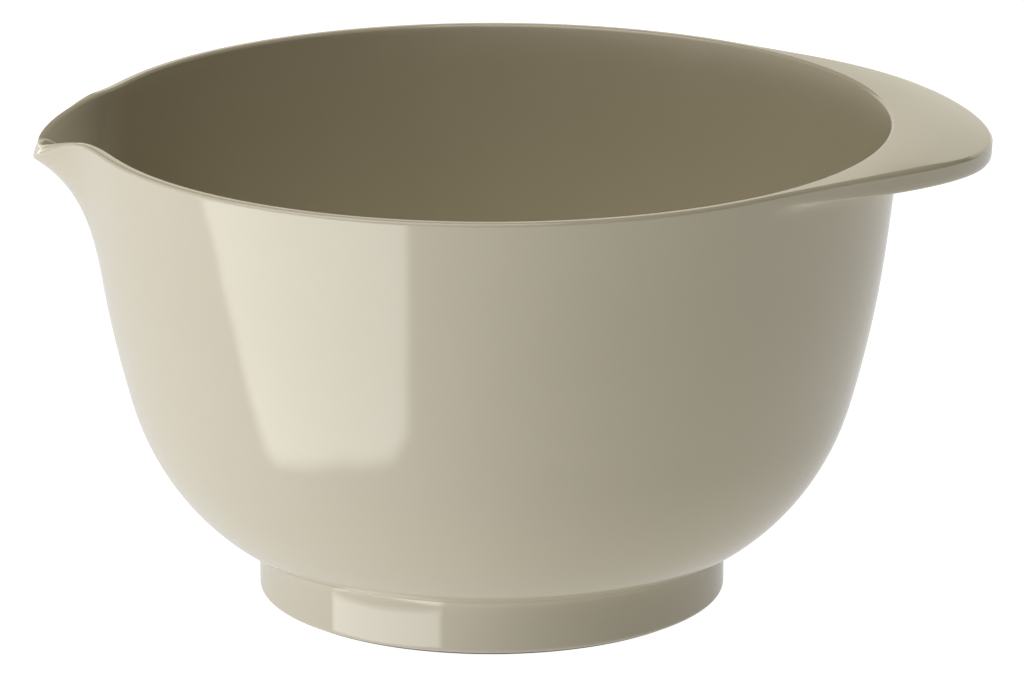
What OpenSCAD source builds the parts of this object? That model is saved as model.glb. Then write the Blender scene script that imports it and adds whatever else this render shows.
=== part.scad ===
// Mixing bowl: one moulded shell with a pouring spout, a crescent grip and a hollow foot,
// and a rubber ring that sits in a groove under the foot.
// Millimetres, Z up. The origin is on the bowl's axis, on the plane that the ring stands on.
// The grip points along +X and the spout along -X.

/* [Bowl] */
// Height of the rim above the standing plane
bowl_h = 143.4; // [138:0.2:150]
// Diameter across the outside of the round rim
rim_d = 240.8; // [236:0.2:246]
// Wall thickness of the moulding
wall_t = 3.7; // [3.2:0.1:4.4]
// Rounding of the two rim edges
rim_round = 1.2; // [0.8:0.1:1.4]
// Outward lean of the straight band below the rim, run over rise
rim_lean = 0.12; // [0.08:0.01:0.16]

/* [Belly] */
// Radius at the waist, where the round belly turns into the steep wall
waist_r = 106.6; // [104:0.2:108]
// Height of the waist
waist_z = 60.8; // [56:0.2:66]
// Radius of the belly's lower edge, above the neck of the foot
belly_r = 77.4; // [76:0.2:80]
// Height of that lower edge
belly_z = 19.2; // [18:0.2:20.4]
// Height of the inside floor at the centre
floor_z = 12; // [11.5:0.1:13]

/* [Foot] */
// Outside diameter of the foot
foot_d = 138; // [134:0.5:140]
// Radial width of the foot
foot_w = 9.6; // [9:0.1:11]
// Radius of the neck between the foot and the belly
neck_r = 4; // [3:0.1:4.5]
// Rounding of the foot's lower edges
foot_round = 1.2; // [0.6:0.1:1.4]
// Depth of the groove that holds the ring
groove_h = 3; // [2.5:0.1:3.5]
// Width of the groove
groove_w = 5; // [4:0.1:5.4]

/* [Ring] */
// How far the ring stands out below the foot
ring_proud = 1; // [0.6:0.1:1.4]
// Gap between the ring and each wall of its groove
ring_gap = 0.08; // [0.05:0.01:0.1]
// Rounding of the ring's two lower edges
ring_round = 0.7; // [0.3:0.1:0.9]

/* [Spout] */
// Reach of the spout's lip beyond the round rim
spout_reach = 15; // [10:0.5:17]
// Angle from the spout's middle to where its reach has fallen to about a third
spout_angle = 12; // [10:0.5:15]
// Height at which the wall starts to flare into the spout
spout_root = 97; // [90:1:105]
// Drop of the lip's inner edge below the rim
spout_dip = 6.8; // [4:0.2:8]
// Further drop of the lip's outer edge
lip_tilt = 4.2; // [3:0.2:5]

/* [Handle] */
// Reach of the grip beyond the round rim
handle_reach = 26.4; // [20:0.2:30]
// Angle from the grip's middle to where it runs out into the rim
handle_angle = 52; // [46:1:60]
// Thickness of the grip's plate
handle_t = 3.6; // [3.2:0.1:4.2]
// Droop of the plate's top at its outer edge
handle_droop = 5; // [3:0.2:6]
// Height of the turned-down edge that the fingers hook over
lip_h = 6.4; // [5.5:0.1:7]

/* [Hidden] */
$fn = 180;

rim_r = rim_d / 2;
foot_r = foot_d / 2;
foot_inner_r = foot_r - foot_w;
// The shell stands off the surface by the height of the ring
foot_z = ring_proud;
groove_mid_r = foot_r - foot_w / 2;
groove_inner_r = groove_mid_r - groove_w / 2;
groove_outer_r = groove_mid_r + groove_w / 2;
// Columns round the shell and steps along each stretch of its section
columns = 88;
belly_steps = 8;
wall_steps = 5;
// Columns crowd towards the spout and the grip by this share
crowding = 0.3;
// Height of the straight band below the rim
band_h = 16.8;
// The foot sinks into the wall by this much, so that the two are one solid
sink = 0.9;
// The neck's curve runs past the underside of the wall by this much
neck_bite = 0.4;
// Slope of the underside that leads from the foot out to the belly, rise over run
shelf_slope = 0.24;
// Overlap past a face that is cut
cut = 1;
// How far inside the foot's inner wall the underside's flat ends, and its rise from there
flat_end = 8;
under_rise = 2.4;
// How far outside the foot's wall the sloping underside starts
shelf_start = 0.4;
// Fade of the grip round the bowl, as a power of a cosine
grip_fade = 2.05;
// Fade of the grip's depth towards its ends, as a power
depth_fade = 5;
// Droop of the grip's top, as a power of the reach
droop_power = 2.2;
// Flare of the wall into the spout, as a power of the height
flare_power = 2.3;
// Steepness of the spout's sides
spout_power = 2.7;
// The lip's dip is this much wider than the spout, and fades by this power of a cosine
dip_width = 1.25;
dip_fade = 1.8;
// The lip's outer edge reaches less far than its inner edge by this much
lip_back = 0.6;

// How far the control points of the section's curves stand from the curves' ends
belly_start = [1.2, 0.8];
belly_pull = 30;
wall_pull = 29;
band_pull = 22;
floor_pull = 31.5;
inside_pull = 32.5;

// Plain section: control points of the two curves on the outside of the belly
waist = [waist_r, waist_z];
waist_way = [0.265, 0.964];
band_foot = [rim_r - rim_lean * band_h, bowl_h - band_h];
band_way = [rim_lean, 1];
belly_curve = [[belly_r, belly_z], [belly_r, belly_z] + belly_start, waist - belly_pull * waist_way, waist];
wall_curve = [waist, waist + wall_pull * waist_way, band_foot - band_pull * band_way, band_foot];
// Inside curve from the flat floor up to the waist
floor_flat_r = 37;
inner_waist = waist + wall_t * [-waist_way.y, waist_way.x];
floor_curve = [
    [floor_flat_r, floor_z],
    [floor_flat_r + floor_pull, floor_z],
    inner_waist - inside_pull * waist_way,
    inner_waist
];

function bezier(p, t) =
    pow(1 - t, 3) * p[0] + 3 * pow(1 - t, 2) * t * p[1] + 3 * (1 - t) * t * t * p[2] + pow(t, 3) * p[3];

function bezier_way(p, t) =
    pow(1 - t, 2) * (p[1] - p[0]) + 2 * (1 - t) * t * (p[2] - p[1]) + t * t * (p[3] - p[2]);

// Point on a curve, moved inwards by the wall thickness
function bezier_inside(p, t) =
    let (way = bezier_way(p, t), unit = way / norm(way))
    bezier(p, t) + wall_t * [-unit.y, unit.x];

// Radius of the outer face in the straight band, at a drop below the rim
function band_r(drop) = rim_r - rim_lean * drop;

// Rows where the grip grows out of the wall, from the wall up to the rim's outer edge.
// Each row: drop on the plain wall, reach out on the full grip, drop below the grip's top there
handle_rows = [
    [13, 0, 13],
    [10.4, 0, 9.4],
    [8.6, 0.8, handle_t + 3],
    [7, 3.4, handle_t + 0.9],
    [5.8, 10, handle_t],
    [4.8, 17, handle_t],
    [4, handle_reach - 4.2, handle_t + 0.4],
    [3.3, handle_reach - 3, lip_h - 0.4],
    [2.6, handle_reach - 1.6, lip_h],
    [1.9, handle_reach - 0.2, lip_h - 1.1],
    [rim_round, handle_reach, 1.1]
];

// Rows over the top. Each row: distance in from the outer face, drop, reach on the full grip
top_rows = [
    [0.3 * rim_round, 0.3 * rim_round, handle_reach - 0.35],
    [rim_round, 0, handle_reach - 1.3],
    [rim_round + 0.3, 0, 18],
    [rim_round + 0.6, 0, 9],
    [rim_round + 0.9, 0, 3]
];

// Rows over the inner edge and down the inner face, as drops below the rim
inner_drops = [0, 0.3 * rim_round, rim_round, 4, 8, 12.4];

// Share of the grip and of the spout at an angle round the bowl
function handle_share(a) =
    let (off = min(a, 360 - a) * 90 / handle_angle)
    off >= 90 ? 0 : pow(cos(off), grip_fade);

function spout_share(a) = exp(-pow(abs(a - 180) / spout_angle, spout_power));

function dip_share(a) =
    let (off = abs(a - 180) * 90 / (dip_width * spout_angle))
    off >= 90 ? 0 : pow(cos(off), dip_fade);

// How far the flare has come at a height, from 0 at its root to 1 at the rim
function flare(z) = z <= spout_root ? 0 : pow((z - spout_root) / (bowl_h - spout_root), flare_power);

// Move a point of the plain section out and down by the spout. side: 0 outer face, 1 inner face
function spouted(p, a, side) =
    let (f = flare(p.y))
    [
        p.x + (spout_reach - lip_back * (1 - side)) * spout_share(a) * f,
        p.y - (spout_dip + lip_tilt * (1 - side)) * dip_share(a) * f
    ];

// Droop of the grip's top at a reach from the round rim
function droop(reach) = handle_droop * pow(reach / handle_reach, droop_power);

// Point of the outer face's upper rows, on the grip's share w
function grip_point(row, w) =
    let (reach = w * row[1], depth = 1 - pow(1 - w, depth_fade))
    [
        band_r(row[0]) + reach,
        bowl_h - droop(reach) - row[0] * (1 - depth) - row[2] * depth
    ];

function top_point(row, w) =
    let (reach = w * row[2])
    [rim_r - row[0] + reach, bowl_h - row[1] - droop(reach)];

// Inner face in the straight band
function inner_r(drop) = band_r(drop) - wall_t;

function inner_edge(drop) =
    inner_r(drop) + (drop < rim_round ? rim_round - sqrt(pow(rim_round, 2) - pow(rim_round - drop, 2)) : 0);

// Half section of the shell at an angle, from the underside of the floor round to the inside floor
function section(a) =
    let (w = handle_share(a))
    concat(
        [[foot_inner_r - flat_end, floor_z - wall_t]],
        [[groove_mid_r, floor_z - wall_t + under_rise]],
        [[foot_r + shelf_start, shelf_z(foot_r + shelf_start)]],
        [for (i = [0:belly_steps - 1]) bezier(belly_curve, i / belly_steps)],
        [for (i = [0:wall_steps]) spouted(bezier(wall_curve, i / wall_steps), a, 0)],
        [for (row = handle_rows) spouted(grip_point(row, w), a, 0)],
        [for (row = top_rows) spouted(top_point(row, w), a, row[0] / wall_t)],
        [for (drop = inner_drops) spouted([inner_edge(drop), bowl_h - drop], a, 1)],
        [for (i = [0:wall_steps - 1]) spouted(bezier_inside(wall_curve, 1 - i / wall_steps), a, 1)],
        [for (i = [0:belly_steps]) bezier(floor_curve, 1 - i / belly_steps)]
    );

// Angle of a column: columns stand closer together at the spout and the grip
function column_angle(i) =
    let (even = 360 * i / columns)
    even - crowding / 2 * 180 / PI * sin(2 * even);

// Closed skin of the moulding above the foot
module shell_skin() {
    rows = len(section(0));
    rings = [
        for (i = [0:columns - 1])
            let (a = column_angle(i))
            for (p = section(a)) [p.x * cos(a), p.x * sin(a), p.y]
    ];
    under = columns * rows;
    inside = under + 1;
    points = concat(rings, [[0, 0, floor_z - wall_t], [0, 0, floor_z]]);
    walls = [
        for (i = [0:columns - 1])
            for (j = [0:rows - 2])
                let (k = (i + 1) % columns)
                each [
                    [i * rows + j, i * rows + j + 1, k * rows + j + 1],
                    [i * rows + j, k * rows + j + 1, k * rows + j]
                ]
    ];
    caps = [
        for (i = [0:columns - 1])
            let (k = (i + 1) % columns)
            each [
                [under, i * rows, k * rows],
                [inside, k * rows + rows - 1, i * rows + rows - 1]
            ]
    ];
    polyhedron(points = points, faces = concat(walls, caps), convexity = 6);
}

// Height of the underside that leads from the foot out to the belly's lower edge
function shelf_z(r) = belly_z - shelf_slope * (belly_r - r);

// Half section of the foot, with rounded lower edges and the hollow curve of the neck.
// Its top ends inside the floor and the wall
module foot_section() {
    neck_z = shelf_z(foot_r + neck_r) - neck_r + neck_bite;
    corner_r = foot_r + neck_r / 2;
    difference() {
        union() {
            polygon([
                [foot_inner_r + foot_round, foot_z],
                [foot_r - foot_round, foot_z],
                [foot_r, foot_z + foot_round],
                [foot_r, neck_z],
                [corner_r, neck_z],
                [corner_r, shelf_z(corner_r) + sink],
                [foot_r, shelf_z(foot_r) + sink],
                [foot_inner_r, floor_z + 0.5],
                [foot_inner_r, foot_z + foot_round]
            ]);
            translate([foot_inner_r + foot_round, foot_z + foot_round])
                circle(r = foot_round);
            translate([foot_r - foot_round, foot_z + foot_round])
                circle(r = foot_round);
        }
        translate([foot_r + neck_r, neck_z])
            circle(r = neck_r);
    }
}

module groove_section() {
    translate([groove_inner_r, foot_z - cut])
        square([groove_w, groove_h + cut]);
}

// Melamine moulding: wall, spout, grip, floor and foot are one piece
module bowl_shell() {
    color([0.74, 0.71, 0.64])
        difference() {
            union() {
                shell_skin();
                rotate_extrude() foot_section();
            }
            rotate_extrude() groove_section();
        }
}

// Half section of the ring, rounded where it meets the surface
module ring_section() {
    ring_w = groove_w - 2 * ring_gap;
    ring_h = groove_h + ring_proud;
    translate([groove_inner_r + ring_gap, 0]) {
        translate([0, ring_round])
            square([ring_w, ring_h - ring_round]);
        translate([ring_round, 0])
            square([ring_w - 2 * ring_round, ring_round]);
        translate([ring_round, ring_round])
            circle(r = ring_round);
        translate([ring_w - ring_round, ring_round])
            circle(r = ring_round);
    }
}

// Rubber ring, a separate piece that can be pulled out of the groove
module anti_slip_ring() {
    color([0.30, 0.30, 0.29])
        rotate_extrude() ring_section();
}

bowl_shell();
anti_slip_ring();
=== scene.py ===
import logging
import math
from dataclasses import dataclass, field
from enum import Enum

import bpy
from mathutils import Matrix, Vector
from mathutils.kdtree import KDTree


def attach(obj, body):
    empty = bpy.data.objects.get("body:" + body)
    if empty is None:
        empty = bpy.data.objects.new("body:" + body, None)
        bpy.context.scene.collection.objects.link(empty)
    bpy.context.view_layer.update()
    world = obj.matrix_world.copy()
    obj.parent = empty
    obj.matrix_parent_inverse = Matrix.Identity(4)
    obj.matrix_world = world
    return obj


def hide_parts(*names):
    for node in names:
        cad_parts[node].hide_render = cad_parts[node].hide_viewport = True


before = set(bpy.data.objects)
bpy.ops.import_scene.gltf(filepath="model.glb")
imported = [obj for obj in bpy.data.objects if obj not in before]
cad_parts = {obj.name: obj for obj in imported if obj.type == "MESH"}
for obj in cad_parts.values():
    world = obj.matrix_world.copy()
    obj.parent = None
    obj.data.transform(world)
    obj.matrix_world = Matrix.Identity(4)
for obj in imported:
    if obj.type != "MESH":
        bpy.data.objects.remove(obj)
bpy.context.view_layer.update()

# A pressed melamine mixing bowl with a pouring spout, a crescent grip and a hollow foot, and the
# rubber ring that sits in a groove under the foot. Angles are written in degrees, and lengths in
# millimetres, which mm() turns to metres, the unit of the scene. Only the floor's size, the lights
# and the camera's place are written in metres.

# Points closer together than this are one point of a mesh
MERGE_MM = 0.004

log = logging.getLogger("mixing_bowl")

Pair = tuple[float, float]
Spot = tuple[float, float, float]


class Axis(Enum):
    """Directions that a part of the shell is pressed in, with their place in a vector."""

    X = 0
    Y = 1
    Z = 2


def mm(length: float) -> float:
    """Return a length in millimetres as metres."""
    return length / 1000.0


def per_metre(size_mm: float) -> float:
    """Return a texture scale whose pattern repeats every so many millimetres."""
    return 1000.0 / size_mm


def linear(code: str) -> tuple[float, float, float, float]:
    """Turn an sRGB hex colour to linear light.

    Args:
        code: six hex digits, such as "c8c2b4".

    Returns:
        Linear red, green, blue and full alpha.
    """
    parts = []
    for start in (0, 2, 4):
        level = int(code[start:start + 2], 16) / 255.0
        parts.append(level / 12.92 if level <= 0.04045 else ((level + 0.055) / 1.055) ** 2.4)
    return (parts[0], parts[1], parts[2], 1.0)


def add_node(
    tree: bpy.types.NodeTree,
    kind: str,
    settings: dict[str, object] | None = None,
    inputs: dict[str | int, object] | None = None,
) -> bpy.types.Node:
    """Add one shader node with its settings, values and links.

    Args:
        tree: the node tree of a material or the world.
        kind: the node's Blender type name.
        settings: attributes of the node itself.
        inputs: values for its input sockets; a socket as the value is linked instead.

    Returns:
        The new node.
    """
    node = tree.nodes.new(kind)
    for name, value in (settings or {}).items():
        setattr(node, name, value)
    for name, value in (inputs or {}).items():
        if isinstance(value, bpy.types.NodeSocket):
            tree.links.new(value, node.inputs[name])
        else:
            node.inputs[name].default_value = value
    return node


def blank_material(name: str) -> tuple[bpy.types.Material, bpy.types.NodeTree]:
    """Make a material with an empty node tree.

    Args:
        name: what the real material is and how it was made.

    Returns:
        The material and its node tree.
    """
    material = bpy.data.materials.new(name)
    material.use_nodes = True
    material.node_tree.nodes.clear()
    return material, material.node_tree


def bezier(points: list[Pair], share: float) -> Pair:
    """Return a point of a cubic curve.

    Args:
        points: the curve's four control points.
        share: how far along the curve, from 0 to 1.

    Returns:
        Radius and height of the point.
    """
    rest = 1.0 - share
    weights = (rest ** 3, 3 * rest ** 2 * share, 3 * rest * share ** 2, share ** 3)
    return (
        sum(weight * point[0] for weight, point in zip(weights, points)),
        sum(weight * point[1] for weight, point in zip(weights, points)),
    )


def bezier_inside(points: list[Pair], share: float, thickness: float) -> Pair:
    """Return a point of a cubic curve moved inwards, to its left, by a wall thickness.

    Args:
        points: the curve's four control points.
        share: how far along the curve, from 0 to 1.
        thickness: how far the point moves.

    Returns:
        Radius and height of the moved point.
    """
    rest = 1.0 - share
    weights = (rest ** 2, 2 * rest * share, share ** 2)
    way = [
        sum(w * (points[i + 1][k] - points[i][k]) for i, w in enumerate(weights)) for k in (0, 1)
    ]
    size = math.hypot(*way)
    place = bezier(points, share)
    return (place[0] - thickness * way[1] / size, place[1] + thickness * way[0] / size)


def along_arc(centre: Pair, radius: float, start: float, end: float, steps: int) -> list[Pair]:
    """Return points along an arc of a section.

    Args:
        centre: radius and height of the arc's centre.
        radius: the arc's own radius.
        start: angle of the first point, from outwards towards up.
        end: angle of the last point.
        steps: number of stretches between the points.

    Returns:
        The points in order, both ends included.
    """
    points = []
    for step in range(steps + 1):
        angle = math.radians(start + (end - start) * step / steps)
        points.append((centre[0] + radius * math.cos(angle), centre[1] + radius * math.sin(angle)))
    return points


def smooth_rows(rows: list[tuple[float, ...]], steps: int) -> list[tuple[float, ...]]:
    """Draw a smooth line through rows of numbers.

    Args:
        rows: the numbers of each row, all of one length.
        steps: number of new rows for each stretch between two given rows.

    Returns:
        The new rows, which pass through every given row.
    """
    result = []
    last = len(rows) - 1
    for index in range(last):
        before, start = rows[max(index - 1, 0)], rows[index]
        end, after = rows[index + 1], rows[min(index + 2, last)]
        for step in range(steps):
            t = step / steps
            result.append(tuple(
                0.5 * (2 * b + (c - a) * t + (2 * a - 5 * b + 4 * c - d) * t ** 2
                       + (3 * b - a - 3 * c + d) * t ** 3)
                for a, b, c, d in zip(before, start, end, after)
            ))
    result.append(rows[last])
    return result


class Chain:
    """An open line of edges in the XZ plane, drawn point by point and spun round the axis."""

    def __init__(self, name: str, start: Pair) -> None:
        """Start the line as one vertex.

        Args:
            name: name of the piece.
            start: radius and height of the first point, in millimetres.
        """
        if bpy.context.object and bpy.context.object.mode != "OBJECT":
            bpy.ops.object.mode_set(mode="OBJECT")
        bpy.ops.object.select_all(action="DESELECT")
        bpy.ops.mesh.primitive_plane_add(size=mm(1.0), location=(0.0, 0.0, 0.0))
        self.piece = bpy.context.object
        self.piece.name = name
        self.piece.data.name = name
        bpy.ops.object.mode_set(mode="EDIT")
        bpy.ops.mesh.select_all(action="SELECT")
        bpy.ops.mesh.merge(type="CENTER")
        bpy.ops.transform.translate(value=(mm(start[0]), 0.0, mm(start[1])))
        self.end = start

    def draw(self, points: list[Pair]) -> None:
        """Extrude the line's last vertex through more points.

        Args:
            points: radius and height of each point, in millimetres.
        """
        for radius, height in points:
            step = (mm(radius - self.end[0]), 0.0, mm(height - self.end[1]))
            bpy.ops.mesh.extrude_vertices_move(TRANSFORM_OT_translate={"value": step})
            self.end = (radius, height)

    def spin(self, columns: int) -> bpy.types.Object:
        """Spin the line once round the axis and close its seam and poles.

        Args:
            columns: number of columns of faces round the axis.

        Returns:
            The piece, in object mode, with its faces pointing outwards.
        """
        bpy.ops.mesh.select_all(action="SELECT")
        bpy.ops.mesh.spin(
            steps=columns, angle=math.tau, center=(0.0, 0.0, 0.0), axis=(0.0, 0.0, 1.0)
        )
        bpy.ops.mesh.select_all(action="SELECT")
        bpy.ops.mesh.remove_doubles(threshold=mm(MERGE_MM))
        bpy.ops.mesh.normals_make_consistent(inside=False)
        bpy.ops.object.mode_set(mode="OBJECT")
        bpy.ops.object.shade_smooth()
        return self.piece


@dataclass(frozen=True)
class Melamine:
    """Pressed and polished melamine: hard, glossy, and even in colour right through."""

    body_hex: str = "c5bca3"
    fleck_hex: str = "bfb69d"
    roughness: float = 0.07
    roughness_spread: float = 0.05
    ior: float = 1.6
    cloud_mm: float = 34.0
    fleck_mm: float = 0.9
    cloud_share: float = 0.7
    ripple_mm: float = 21.0
    ripple_depth_mm: float = 0.02
    grain_mm: float = 0.5
    grain_depth_mm: float = 0.0006

    def make(self) -> bpy.types.Material:
        """Make the material.

        Returns:
            Melamine with faint clouding, the mould's soft ripple and a fine grain.
        """
        material, tree = blank_material("pressed_melamine")
        spot = add_node(tree, "ShaderNodeTexCoord").outputs["Object"]
        # Clouds where the resin flowed in the mould, and fine flecks of filler: both are faint
        # and keep the colour from being flat
        clouds = add_node(
            tree, "ShaderNodeTexNoise", {},
            {"Vector": spot, "Scale": per_metre(self.cloud_mm), "Detail": 3.0, "Roughness": 0.5},
        ).outputs["Fac"]
        flecks = add_node(
            tree, "ShaderNodeTexNoise", {},
            {"Vector": spot, "Scale": per_metre(self.fleck_mm), "Detail": 1.0},
        ).outputs["Fac"]
        blend = add_node(
            tree, "ShaderNodeMath", {"operation": "MULTIPLY_ADD"},
            {0: clouds, 1: self.cloud_share, 2: add_node(
                tree, "ShaderNodeMath", {"operation": "MULTIPLY"},
                {0: flecks, 1: 1.0 - self.cloud_share},
            ).outputs[0]},
        ).outputs[0]
        colour = add_node(
            tree, "ShaderNodeMix", {"data_type": "RGBA"},
            {0: blend, 6: linear(self.body_hex), 7: linear(self.fleck_hex)},
        ).outputs[2]
        # Handling leaves patches a little less glossy than the rest
        gloss = add_node(
            tree, "ShaderNodeMapRange", {},
            {"Value": clouds, "From Min": 0.35, "From Max": 0.7,
             "To Min": self.roughness, "To Max": self.roughness + self.roughness_spread},
        ).outputs["Result"]
        # The mould's polish leaves a long soft ripple that bends reflections slightly, and
        # the pressed surface has a grain too fine to see, which only softens the highlights
        ripple = add_node(
            tree, "ShaderNodeTexNoise", {},
            {"Vector": spot, "Scale": per_metre(self.ripple_mm), "Detail": 0.0},
        ).outputs["Fac"]
        grain = add_node(
            tree, "ShaderNodeTexNoise", {},
            {"Vector": spot, "Scale": per_metre(self.grain_mm), "Detail": 1.0},
        ).outputs["Fac"]
        waves = add_node(
            tree, "ShaderNodeBump", {},
            {"Height": ripple, "Strength": 1.0, "Distance": mm(self.ripple_depth_mm)},
        ).outputs["Normal"]
        surface = add_node(
            tree, "ShaderNodeBump", {},
            {"Height": grain, "Strength": 1.0, "Distance": mm(self.grain_depth_mm),
             "Normal": waves},
        ).outputs["Normal"]
        shader = add_node(
            tree, "ShaderNodeBsdfPrincipled", {},
            {"Base Color": colour, "Roughness": gloss, "IOR": self.ior, "Normal": surface},
        ).outputs["BSDF"]
        add_node(tree, "ShaderNodeOutputMaterial", {}, {"Surface": shader})
        return material


@dataclass(frozen=True)
class RingRubber:
    """Moulded rubber: dark, matt and slightly dusty, with the grain of the mould."""

    body_hex: str = "5b5a55"
    dust_hex: str = "77756d"
    roughness: float = 0.62
    ior: float = 1.52
    dust_mm: float = 6.0
    dust_share: float = 0.6
    grain_mm: float = 0.35
    grain_depth_mm: float = 0.03

    def make(self) -> bpy.types.Material:
        """Make the material.

        Returns:
            Rubber with soft patches of dust over a fine moulded grain.
        """
        material, tree = blank_material("moulded_rubber")
        spot = add_node(tree, "ShaderNodeTexCoord").outputs["Object"]
        patches = add_node(
            tree, "ShaderNodeTexNoise", {},
            {"Vector": spot, "Scale": per_metre(self.dust_mm), "Detail": 4.0, "Roughness": 0.6},
        ).outputs["Fac"]
        dust = add_node(
            tree, "ShaderNodeMapRange", {},
            {"Value": patches, "From Min": 0.45, "From Max": 0.75,
             "To Min": 0.0, "To Max": self.dust_share},
        ).outputs["Result"]
        colour = add_node(
            tree, "ShaderNodeMix", {"data_type": "RGBA"},
            {0: dust, 6: linear(self.body_hex), 7: linear(self.dust_hex)},
        ).outputs[2]
        # The grain of a blasted mould: it scatters the light, so the ring stays matt
        grain = add_node(
            tree, "ShaderNodeTexNoise", {},
            {"Vector": spot, "Scale": per_metre(self.grain_mm), "Detail": 2.0},
        ).outputs["Fac"]
        surface = add_node(
            tree, "ShaderNodeBump", {},
            {"Height": grain, "Strength": 1.0, "Distance": mm(self.grain_depth_mm)},
        ).outputs["Normal"]
        shader = add_node(
            tree, "ShaderNodeBsdfPrincipled", {},
            {"Base Color": colour, "Roughness": self.roughness, "IOR": self.ior,
             "Normal": surface},
        ).outputs["BSDF"]
        add_node(tree, "ShaderNodeOutputMaterial", {}, {"Surface": shader})
        return material


@dataclass(frozen=True)
class Spout:
    """The pouring spout, pressed out of the wall towards -X."""

    reach: float = 15.0
    outer_edge_short: float = 0.6
    spread: float = 12.0
    spread_power: float = 2.7
    root: float = 97.0
    flare_power: float = 2.3
    dip: float = 6.8
    dip_width: float = 1.25
    dip_fade: float = 1.8
    lip_tilt: float = 4.2

    def press(self, angle: float, height: float, side: float, rim_height: float) -> Pair:
        """Return how far a point of the plain wall moves out and up.

        Args:
            angle: angle round the bowl from the grip, in degrees.
            height: height of the point on the plain wall.
            side: 0 on the outer face, 1 on the inner face, between them over the rim.
            rim_height: height of the plain rim.

        Returns:
            The move outwards and the move upwards, in millimetres.
        """
        off = abs(180.0 - abs(angle))
        if height <= self.root:
            return (0.0, 0.0)
        flare = ((height - self.root) / (rim_height - self.root)) ** self.flare_power
        out = (self.reach - self.outer_edge_short * (1.0 - side)) * flare
        turn = off * 90.0 / (self.dip_width * self.spread)
        dip = math.cos(math.radians(turn)) ** self.dip_fade if turn < 90.0 else 0.0
        return (
            out * math.exp(-((off / self.spread) ** self.spread_power)),
            -(self.dip + self.lip_tilt * (1.0 - side)) * dip * flare,
        )


@dataclass(frozen=True)
class Grip:
    """The crescent grip that grows out of the rim towards +X, with a turned-down edge."""

    reach: float = 26.4
    spread: float = 52.0
    fade: float = 2.05
    plate: float = 3.6
    depth_fade: float = 5.0
    droop: float = 5.0
    droop_power: float = 2.2
    lip: float = 6.4

    def share(self, angle: float) -> float:
        """Return how much of the grip there is at an angle from its middle, from 0 to 1."""
        turn = abs(angle) * 90.0 / self.spread
        return math.cos(math.radians(turn)) ** self.fade if turn < 90.0 else 0.0

    def press(self, angle: float, reach: float, lift: float) -> Pair:
        """Return how far a point of the plain rim moves out and up.

        Args:
            angle: angle round the bowl from the grip's middle, in degrees.
            reach: the point's move outwards where the grip is full.
            lift: the point's move upwards there, apart from the grip's droop.

        Returns:
            The move outwards and the move upwards, in millimetres.
        """
        share = self.share(angle)
        out = share * reach
        drooped = self.droop * (max(out, 0.0) / self.reach) ** self.droop_power
        return (out, lift * (1.0 - (1.0 - share) ** self.depth_fade) - drooped)

    def under_rows(self, rim_round: float) -> list[tuple[float, float, float]]:
        """Return the rows from the wall under the grip out to the grip's outer edge.

        Args:
            rim_round: rounding of the rim's edges.

        Returns:
            Rows of drop on the plain wall, full reach, and drop below the grip's top there.
        """
        full, plate, lip = self.reach, self.plate, self.lip
        return [
            (13.0, 0.0, 13.0), (10.4, 0.0, 9.4), (8.6, 0.8, plate + 3.0),
            (7.0, 3.4, plate + 0.9), (5.8, 10.0, plate), (4.8, 17.0, plate),
            (4.0, full - 4.2, plate + 0.4), (3.3, full - 3.0, lip - 0.4),
            (2.6, full - 1.6, lip), (1.9, full - 0.2, lip - 1.1), (rim_round, full, 1.1),
        ]

    def top_rows(self, rim_round: float) -> list[tuple[float, float, float]]:
        """Return the rows from the grip's outer edge back over its top.

        Args:
            rim_round: rounding of the rim's edges.

        Returns:
            Rows of distance in from the outer face, drop below the rim, and full reach.
        """
        return [
            (0.0, rim_round, self.reach),
            (0.3 * rim_round, 0.3 * rim_round, self.reach - 0.35),
            (rim_round, 0.0, self.reach - 1.3),
            (rim_round + 0.3, 0.0, 18.0), (rim_round + 0.6, 0.0, 9.0),
            (rim_round + 0.9, 0.0, 3.0), (rim_round + 1.1, 0.0, 0.0),
        ]


@dataclass(frozen=True)
class Station:
    """A point of the plain section, with its own moves where the grip is full."""

    radius: float
    height: float
    side: float = 0.0
    reach: float = 0.0
    lift: float = 0.0

    @property
    def place(self) -> Pair:
        """Radius and height of the point."""
        return (self.radius, self.height)


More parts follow.
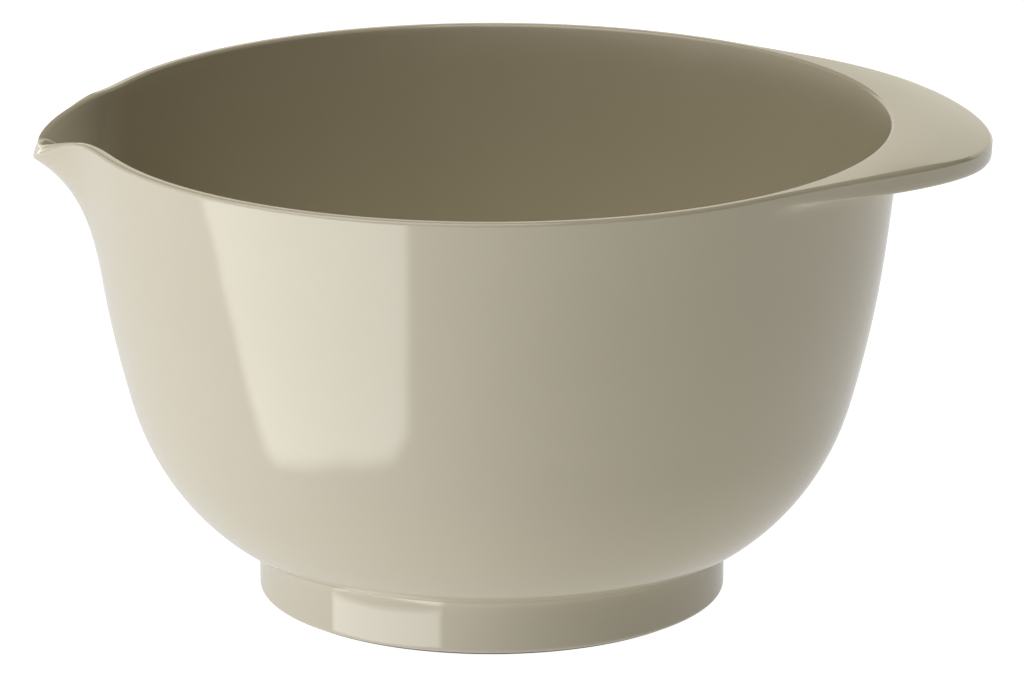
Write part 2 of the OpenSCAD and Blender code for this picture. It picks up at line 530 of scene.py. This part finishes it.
@dataclass
class BowlShell:
    """The melamine moulding: floor, wall, spout, grip and hollow foot in one piece."""

    finish: Melamine
    spout: Spout = field(default_factory=Spout)
    grip: Grip = field(default_factory=Grip)
    height: float = 143.4
    rim_radius: float = 120.4
    rim_lean: float = 0.12
    band_height: float = 16.8
    rim_round: float = 1.2
    wall: float = 3.7
    waist: Pair = (106.6, 60.8)
    waist_way: Pair = (0.265, 0.964)
    belly_radius: float = 77.4
    belly_height: float = 19.2
    belly_start: Pair = (1.2, 0.8)
    belly_pull: float = 30.0
    wall_pull: float = 29.0
    band_pull: float = 22.0
    floor_pull: float = 31.5
    inside_pull: float = 32.5
    shelf_slope: float = 0.24
    floor_height: float = 12.0
    floor_flat: float = 37.0
    foot_radius: float = 69.0
    foot_width: float = 9.6
    foot_gap: float = 1.0
    foot_round: float = 1.2
    neck_radius: float = 4.0
    neck_bite: float = 0.4
    groove_width: float = 5.0
    groove_depth: float = 3.0
    groove_edge: float = 0.25
    columns: int = 240
    curve_steps: int = 24

    def band_radius(self, drop: float) -> float:
        """Return the outer radius of the straight band at a drop below the rim."""
        return self.rim_radius - self.rim_lean * drop

    def off_waist(self, place: Pair, pull: float) -> Pair:
        """Return a point moved some way along the wall's direction at the waist."""
        return (place[0] + pull * self.waist_way[0], place[1] + pull * self.waist_way[1])

    def belly_curve(self) -> list[Pair]:
        """Work out the outside of the belly, from its edge up to the waist.

        Returns:
            The curve's four control points.
        """
        edge = (self.belly_radius, self.belly_height)
        return [
            edge, (edge[0] + self.belly_start[0], edge[1] + self.belly_start[1]),
            self.off_waist(self.waist, -self.belly_pull), self.waist,
        ]

    def wall_curve(self) -> list[Pair]:
        """Work out the outside of the wall, from the waist up to the straight band.

        Returns:
            The curve's four control points.
        """
        end = (self.band_radius(self.band_height), self.height - self.band_height)
        return [
            self.waist, self.off_waist(self.waist, self.wall_pull),
            (end[0] - self.band_pull * self.rim_lean, end[1] - self.band_pull), end,
        ]

    def floor_curve(self) -> list[Pair]:
        """Work out the inside, from the flat floor up to the waist.

        Returns:
            The curve's four control points.
        """
        top = (
            self.waist[0] - self.wall * self.waist_way[1],
            self.waist[1] + self.wall * self.waist_way[0],
        )
        return [
            (self.floor_flat, self.floor_height),
            (self.floor_flat + self.floor_pull, self.floor_height),
            self.off_waist(top, -self.inside_pull), top,
        ]

    def shelf_height(self, radius: float) -> float:
        """Return the height of the underside that leads from the neck out to the belly."""
        return self.belly_height - self.shelf_slope * (self.belly_radius - radius)

    def underside(self) -> list[Pair]:
        """Work out the hollow under the floor.

        Returns:
            The section from the middle out to the foot's inner wall and down it.
        """
        under = self.floor_height - self.wall
        inner = self.foot_radius - self.foot_width
        return [
            (0.0, under), (9.0, under), (20.0, under), (34.0, under), (46.0, under),
            (50.4, under), (52.4, under + 0.19), (56.0, under + 0.86), (57.2, under + 1.08),
            (58.4, under + 1.2), (59.0, under + 0.9), (inner, under + 0.1), (inner, 6.4),
            (inner, 4.0), (inner, self.foot_gap + self.foot_round + 0.3),
        ]

    def foot(self) -> list[Pair]:
        """Work out the foot's lower end, with its rounded edges and the ring's groove.

        Returns:
            The section from the foot's inner wall to its outer wall.
        """
        base, edge, turn = self.foot_gap, self.groove_edge, self.foot_round
        inner = self.foot_radius - self.foot_width
        middle = self.foot_radius - self.foot_width / 2
        left = middle - self.groove_width / 2
        right = middle + self.groove_width / 2
        roof = base + self.groove_depth
        return (
            along_arc((inner + turn, base + turn), turn, 180.0, 270.0, 6)
            + [(left - edge - 0.2, base)]
            + along_arc((left - edge, base + edge), edge, 270.0, 360.0, 4)
            + [(left, base + edge + 0.3), (left, roof - 0.5), (left, roof - 0.05),
               (left + 0.05, roof), (left + 0.5, roof), (middle, roof), (right - 0.5, roof),
               (right - 0.05, roof), (right, roof - 0.05), (right, roof - 0.5),
               (right, base + edge + 0.3)]
            + along_arc((right + edge, base + edge), edge, 180.0, 270.0, 4)
            + [(right + edge + 0.2, base)]
            + along_arc((self.foot_radius - turn, base + turn), turn, 270.0, 360.0, 6)
        )

    def neck(self) -> list[Pair]:
        """Work out the foot's outer wall and the neck.

        Returns:
            The section from the foot up to the belly's edge.
        """
        centre = self.foot_radius + self.neck_radius
        start = self.shelf_height(centre) - self.neck_radius + self.neck_bite
        edge = self.belly_radius
        return (
            [(self.foot_radius, 2.6), (self.foot_radius, 5.0), (self.foot_radius, 9.0),
             (self.foot_radius, 12.5)]
            + along_arc((centre, start), self.neck_radius, 180.0, 131.0, 8)
            + [(radius, self.shelf_height(radius))
               for radius in (70.7, 71.4, 73.0, edge - 2.2, edge - 1.0, edge - 0.5)]
            + [(edge - 0.12, self.belly_height - 0.06)]
        )

    def outer_wall(self) -> list[Pair]:
        """Work out the outside of the belly and the wall.

        Returns:
            The section from the belly's edge up into the straight band.
        """
        belly, wall = self.belly_curve(), self.wall_curve()
        shares = [0.012, 0.03] + [step / self.curve_steps for step in range(2, self.curve_steps)]
        return (
            [(self.belly_radius + 0.16, self.belly_height + 0.08)]
            + [bezier(belly, share) for share in shares]
            + [bezier(wall, step / self.curve_steps) for step in range(self.curve_steps)]
            + [(self.band_radius(drop), self.height - drop)
               for drop in (self.band_height, 15.6, 14.3)]
        )

    def rim(self) -> list[Station]:
        """Work out the straight band and the rim, over which the grip grows out.

        Returns:
            Stations up the outer face, over the rim and down the inner face.
        """
        stations = []
        for drop, reach, below in smooth_rows(self.grip.under_rows(self.rim_round), 3):
            stations.append(Station(
                self.band_radius(drop), self.height - drop, 0.0, reach, drop - below
            ))
        for inset, drop, reach in smooth_rows(self.grip.top_rows(self.rim_round), 3)[1:]:
            stations.append(Station(
                self.rim_radius - max(inset, 0.0), self.height - max(drop, 0.0),
                max(inset, 0.0) / self.wall, reach, 0.0
            ))
        turn = self.rim_round
        centre = (self.rim_radius - self.wall + turn, self.height - turn)
        for place in along_arc(centre, turn, 90.0, 180.0 - math.degrees(self.rim_lean), 8):
            stations.append(Station(place[0], place[1], 1.0))
        for drop in (2.0, 4.0, 7.0, 10.0, 13.5):
            stations.append(Station(self.band_radius(drop) - self.wall, self.height - drop, 1.0))
        return stations

    def inside(self) -> list[Pair]:
        """Work out the inside below the straight band.

        Returns:
            The section from the band down to the floor's middle.
        """
        wall, steps = self.wall_curve(), self.curve_steps
        return (
            [bezier_inside(wall, 1 - step / steps, self.wall) for step in range(steps)]
            + [bezier(self.floor_curve(), 1 - step / steps) for step in range(steps + 1)]
            + [(28.0, self.floor_height), (16.0, self.floor_height), (7.0, self.floor_height),
               (0.0, self.floor_height)]
        )

    def stations(self) -> list[Station]:
        """Put the whole section together.

        Returns:
            Its stations in order, from the underside's middle round to the floor's middle.
        """
        below = self.underside() + self.foot() + self.neck() + self.outer_wall()
        return (
            [Station(*place) for place in below]
            + self.rim()
            + [Station(*place, 1.0) for place in self.inside()]
        )

    def moves(self, piece: bpy.types.Object, stations: list[Station]) -> dict[int, Vector]:
        """Work out how far each vertex moves for the spout and the grip.

        Args:
            piece: the round shell as it was spun.
            stations: the section that it was spun from.

        Returns:
            The move of each vertex that moves, in metres, by the vertex's index.
        """
        tree = KDTree(len(stations))
        for index, station in enumerate(stations):
            tree.insert((mm(station.radius), 0.0, mm(station.height)), index)
        tree.balance()
        moves = {}
        for vertex in piece.data.vertices:
            x, y, z = vertex.co
            radius = math.hypot(x, y)
            if radius < mm(self.waist[0]) or z < mm(self.spout.root):
                continue
            station = stations[tree.find((radius, 0.0, z))[1]]
            angle = math.degrees(math.atan2(y, x))
            grip = self.grip.press(angle, station.reach, station.lift)
            spout = self.spout.press(angle, station.height, station.side, self.height)
            out, up = grip[0] + spout[0], grip[1] + spout[1]
            if out or up:
                moves[vertex.index] = Vector((mm(out) * x / radius, mm(out) * y / radius, mm(up)))
        return moves

    def press(self, piece: bpy.types.Object, moves: dict[int, Vector]) -> None:
        """Press the spout and the grip out of the round shell, one direction at a time.

        Args:
            piece: the shell, which is changed.
            moves: the move of each vertex, in metres.
        """
        for axis in Axis:
            for sign in (1.0, -1.0):
                amounts = {
                    index: sign * move[axis.value]
                    for index, move in moves.items() if sign * move[axis.value] > 0.0
                }
                if not amounts:
                    continue
                most = max(amounts.values())
                group = piece.vertex_groups.new(name=f"press_{axis.name}_{sign:+.0f}")
                for index, amount in amounts.items():
                    group.add([index], amount / most, "REPLACE")
                push = piece.modifiers.new(group.name, "DISPLACE")
                push.direction = axis.name
                push.vertex_group = group.name
                push.mid_level = 0.0
                push.strength = sign * most
        bpy.context.view_layer.objects.active = piece
        for name in [modifier.name for modifier in piece.modifiers]:
            bpy.ops.object.modifier_apply(modifier=name)
        piece.vertex_groups.clear()

    def build(self) -> bpy.types.Object:
        """Build and dress the shell.

        Returns:
            The finished piece, riding on its body.
        """
        stations = self.stations()
        chain = Chain("melamine_shell", stations[0].place)
        chain.draw([station.place for station in stations[1:]])
        piece = chain.spin(self.columns)
        self.press(piece, self.moves(piece, stations))
        piece.data.materials.append(self.finish.make())
        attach(piece, "bowl")
        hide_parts("bowl_shell")
        return piece


@dataclass
class AntiSlipRing:
    """The rubber ring, a loose piece pushed into the groove under the foot."""

    finish: RingRubber
    middle_radius: float = 64.2
    width: float = 4.84
    height: float = 4.0
    foot_round: float = 0.7
    top_round: float = 0.3
    columns: int = 240

    def section(self) -> list[Pair]:
        """Work out the ring's section.

        Returns:
            A closed line that starts and ends in the middle of the ring's top.
        """
        left = self.middle_radius - self.width / 2
        right = self.middle_radius + self.width / 2
        low, high = self.foot_round, self.top_round
        top = self.height
        return (
            [(self.middle_radius, top), (left + high + 0.3, top)]
            + along_arc((left + high, top - high), high, 90.0, 180.0, 4)
            + [(left, top - high - 0.3), (left, low + 0.3)]
            + along_arc((left + low, low), low, 180.0, 270.0, 6)
            + [(left + low + 0.3, 0.0), (self.middle_radius, 0.0), (right - low - 0.3, 0.0)]
            + along_arc((right - low, low), low, 270.0, 360.0, 6)
            + [(right, low + 0.3), (right, top - high - 0.3)]
            + along_arc((right - high, top - high), high, 0.0, 90.0, 4)
            + [(right - high - 0.3, top), (self.middle_radius, top)]
        )

    def build(self) -> bpy.types.Object:
        """Build and dress the ring.

        Returns:
            The finished piece, riding on its body.
        """
        section = self.section()
        chain = Chain("rubber_ring", section[0])
        chain.draw(section[1:])
        piece = chain.spin(self.columns)
        piece.data.materials.append(self.finish.make())
        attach(piece, "ring")
        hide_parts("anti_slip_ring")
        return piece


@dataclass(frozen=True)
class Softbox:
    """A flat studio light that isn't seen itself. Its places and sizes are in metres."""

    name: str
    place: Spot
    aim: Spot
    width: float
    height: float
    brightness: float
    tint_hex: str = "ffffff"
    mirrored: bool = False

    def build(self) -> None:
        """Add the light, with a brightness that doesn't change with its size."""
        lamp = bpy.data.lights.new(self.name, "AREA")
        lamp.shape = "RECTANGLE"
        lamp.size = self.width
        lamp.size_y = self.height
        lamp.energy = self.brightness * math.pi * self.width * self.height
        lamp.color = linear(self.tint_hex)[:3]
        light = bpy.data.objects.new(self.name, lamp)
        light.location = self.place
        way = Vector(self.aim) - Vector(self.place)
        light.rotation_euler = way.to_track_quat("-Z", "Y").to_euler()
        light.visible_camera = False
        light.visible_glossy = self.mirrored
        bpy.context.scene.collection.objects.link(light)


@dataclass
class Studio:
    """The pale floor, the cards that the gloss mirrors, the soft lights and the camera."""

    floor_size: float = 60.0
    floor_hex: str = "8a8987"
    floor_glow: float = 0.65
    floor_seen_glow: float = 0.35
    window_card: tuple[Spot, ...] = (
        (-65.0, -165.0, 0.5), (-62.0, -190.0, 0.5), (-125.0, -355.0, 0.5), (-220.0, -600.0, 0.5),
        (-900.0, -600.0, 0.5), (-900.0, -60.0, 0.5), (-400.0, -75.0, 0.5), (-345.0, -97.0, 0.5),
        (-275.0, -105.0, 0.5), (-150.0, -90.0, 0.5), (-135.0, -95.0, 0.5), (-100.0, -137.0, 0.5),
        (-75.0, -155.0, 0.5),
    )
    foot_card: tuple[Spot, ...] = (
        (-53.0, -51.0, -1.0), (-16.5, -73.0, -1.0), (-16.5, -73.0, 12.8), (-53.0, -51.0, 12.8),
    )
    window_soft_edge: float = 12.0
    foot_soft_edge: float = 2.2
    card_glow: float = 3.5
    card_far_share: float = 0.85
    card_near: float = -60.0
    card_far: float = -420.0
    sky_light: float = 0.01
    sky_seen: float = 1.0
    lights: list[Softbox] = field(default_factory=list)
    camera_place: Spot = (-0.00273, -1.98944, 0.64677)
    camera_pitch: float = 74.006
    camera_turn: float = -0.2514
    lens: float = 246.4

    def build_floor(self) -> None:
        """Lay the floor: a sheet of matt opal acrylic, lit from below."""
        bpy.ops.object.select_all(action="DESELECT")
        bpy.ops.mesh.primitive_plane_add(size=self.floor_size, location=(0.0, 0.0, 0.0))
        floor = bpy.context.object
        floor.name = "studio_floor"
        material, tree = blank_material("matt_opal_acrylic")
        # Where it is seen it glows more than it lights the bowl, so that it stays near white
        seen = add_node(tree, "ShaderNodeLightPath").outputs["Is Camera Ray"]
        glow = add_node(
            tree, "ShaderNodeMath", {"operation": "MULTIPLY_ADD"},
            {0: seen, 1: self.floor_seen_glow, 2: self.floor_glow},
        ).outputs[0]
        shader = add_node(
            tree, "ShaderNodeBsdfPrincipled", {},
            {"Base Color": linear(self.floor_hex), "Roughness": 1.0, "Specular IOR Level": 0.0,
             "Emission Color": linear("ffffff"), "Emission Strength": glow},
        ).outputs["BSDF"]
        # From below it is clear, so that the foot and the ring can be looked at
        below = add_node(tree, "ShaderNodeNewGeometry").outputs["Backfacing"]
        clear = add_node(tree, "ShaderNodeBsdfTransparent").outputs[0]
        mixed = add_node(tree, "ShaderNodeMixShader", {}, {0: below, 1: shader, 2: clear}).outputs[0]
        add_node(tree, "ShaderNodeOutputMaterial", {}, {"Surface": mixed})
        floor.data.materials.append(material)

    def build_card(self, name: str, outline: tuple[Spot, ...], soft_edge: float) -> None:
        """Put up a bright card that shows only as a mirror image, from one side.

        Args:
            name: name of the card.
            outline: its corners, clockwise as the side that glows is seen.
            soft_edge: width of the border that the glow fades out over, in millimetres.
        """
        bpy.ops.object.select_all(action="DESELECT")
        bpy.ops.mesh.primitive_circle_add(
            vertices=len(outline), radius=mm(100.0), fill_type="NGON"
        )
        card = bpy.context.object
        card.name = name
        corners = [Vector(tuple(mm(part) for part in place)) for place in outline]
        for vertex, corner in zip(card.data.vertices, corners):
            vertex.co = corner
        bpy.ops.object.mode_set(mode="EDIT")
        bpy.ops.mesh.select_all(action="SELECT")
        bpy.ops.mesh.inset(thickness=mm(soft_edge), depth=0.0)
        bpy.ops.object.mode_set(mode="OBJECT")
        inside = card.data.attributes.new("inside_edge", "FLOAT", "POINT")
        for vertex, share in zip(card.data.vertices, inside.data):
            share.value = float(all((vertex.co - corner).length > mm(MERGE_MM) for corner in corners))
        material, tree = blank_material(f"glowing_{name}")
        spot = add_node(tree, "ShaderNodeTexCoord").outputs["Object"]
        across = add_node(
            tree, "ShaderNodeSeparateXYZ", {}, {"Vector": spot}
        ).outputs["X"]
        # The card is a little dimmer towards its far end, on the left
        strength = add_node(
            tree, "ShaderNodeMapRange", {},
            {"Value": across, "From Min": mm(self.card_far), "From Max": mm(self.card_near),
             "To Min": self.card_glow * self.card_far_share, "To Max": self.card_glow},
        ).outputs["Result"]
        glow = add_node(
            tree, "ShaderNodeEmission", {}, {"Color": linear("fffefb"), "Strength": strength}
        ).outputs[0]
        # Only one side glows, out to its soft edge: elsewhere the card isn't there
        back = add_node(tree, "ShaderNodeNewGeometry").outputs["Backfacing"]
        edge = add_node(tree, "ShaderNodeAttribute", {"attribute_name": "inside_edge"})
        there = add_node(
            tree, "ShaderNodeMath", {"operation": "MULTIPLY"}, {0: back, 1: edge.outputs["Fac"]}
        ).outputs[0]
        clear = add_node(tree, "ShaderNodeBsdfTransparent").outputs[0]
        mixed = add_node(tree, "ShaderNodeMixShader", {}, {0: there, 1: clear, 2: glow}).outputs[0]
        add_node(tree, "ShaderNodeOutputMaterial", {}, {"Surface": mixed})
        card.data.materials.append(material)
        card.visible_camera = False
        card.visible_diffuse = False
        card.visible_shadow = False

    def build_sky(self) -> None:
        """Set the surroundings: white where they are seen, dim where they light the bowl."""
        world = bpy.data.worlds.new("studio_surroundings")
        world.use_nodes = True
        tree = world.node_tree
        tree.nodes.clear()
        seen = add_node(tree, "ShaderNodeLightPath").outputs["Is Camera Ray"]
        dim = add_node(
            tree, "ShaderNodeBackground", {},
            {"Color": linear("ffffff"), "Strength": self.sky_light},
        ).outputs[0]
        white = add_node(
            tree, "ShaderNodeBackground", {},
            {"Color": linear("ffffff"), "Strength": self.sky_seen},
        ).outputs[0]
        mixed = add_node(tree, "ShaderNodeMixShader", {}, {0: seen, 1: dim, 2: white}).outputs[0]
        add_node(tree, "ShaderNodeOutputWorld", {}, {"Surface": mixed})
        bpy.context.scene.world = world
        bpy.context.scene.view_settings.view_transform = "Standard"

    def build_camera(self) -> None:
        """Set up the camera, well back with a long lens."""
        data = bpy.data.cameras.new("studio_camera")
        data.lens = self.lens
        camera = bpy.data.objects.new("studio_camera", data)
        camera.location = self.camera_place
        camera.rotation_euler = (math.radians(self.camera_pitch), 0.0, math.radians(self.camera_turn))
        bpy.context.scene.collection.objects.link(camera)
        bpy.context.scene.camera = camera

    def build(self) -> None:
        """Build the floor, the surroundings, the lights and the camera."""
        self.build_floor()
        self.build_card("window_card", self.window_card, self.window_soft_edge)
        self.build_card("foot_card", self.foot_card, self.foot_soft_edge)
        self.build_sky()
        for light in self.lights:
            light.build()
        self.build_camera()


def studio_lights() -> list[Softbox]:
    """Choose the studio's lights.

    Returns:
        The lights, each with its brightness as the radiance of its panel.
    """
    return [
        # Long low window on the left, little higher than the rim, so that the inside stays dim
        Softbox("left_window", (-1.46, -0.65, 0.1), (0.0, 0.0, 0.07), 1.2, 0.19, 27.5, "e7ecff"),
        # Lit ceiling, for the tops of the rim and the grip, and for the inside
        Softbox("overhead", (-0.4, -0.1, 1.75), (0.0, 0.0, 0.1), 1.5, 1.5, 2.3, "fffdf8", True),
        # Its left end, so that the inside grows a little lighter to the right
        Softbox("left_ceiling", (-1.2, 0.2, 1.3), (0.0, 0.0, 0.1), 1.2, 1.2, 0.65, "fffdf8"),
        # Its weak end in front, for the inside of the back wall
        Softbox("front_ceiling", (-0.2, -1.3, 1.6), (0.0, 0.0, 0.1), 1.6, 1.0, 0.9, "fffdf8"),
        # Lit wall behind, which the grip's top and the right side mirror
        Softbox("back_wall", (0.2, 2.0, 0.45), (0.0, 0.0, 0.1), 3.4, 0.9, 1.0, "fffaeb", True),
    ]


def main() -> None:
    """Build the bowl and its studio."""
    logging.basicConfig(level=logging.INFO, format="%(name)s: %(message)s")
    for assembly in (BowlShell(Melamine()), AntiSlipRing(RingRubber())):
        piece = assembly.build()
        faces = len(piece.data.polygons)
        log.info("%s: %s, %d faces", type(assembly).__name__, piece.name, faces)
    Studio(lights=studio_lights()).build()


if __name__ == "__main__":
    main()
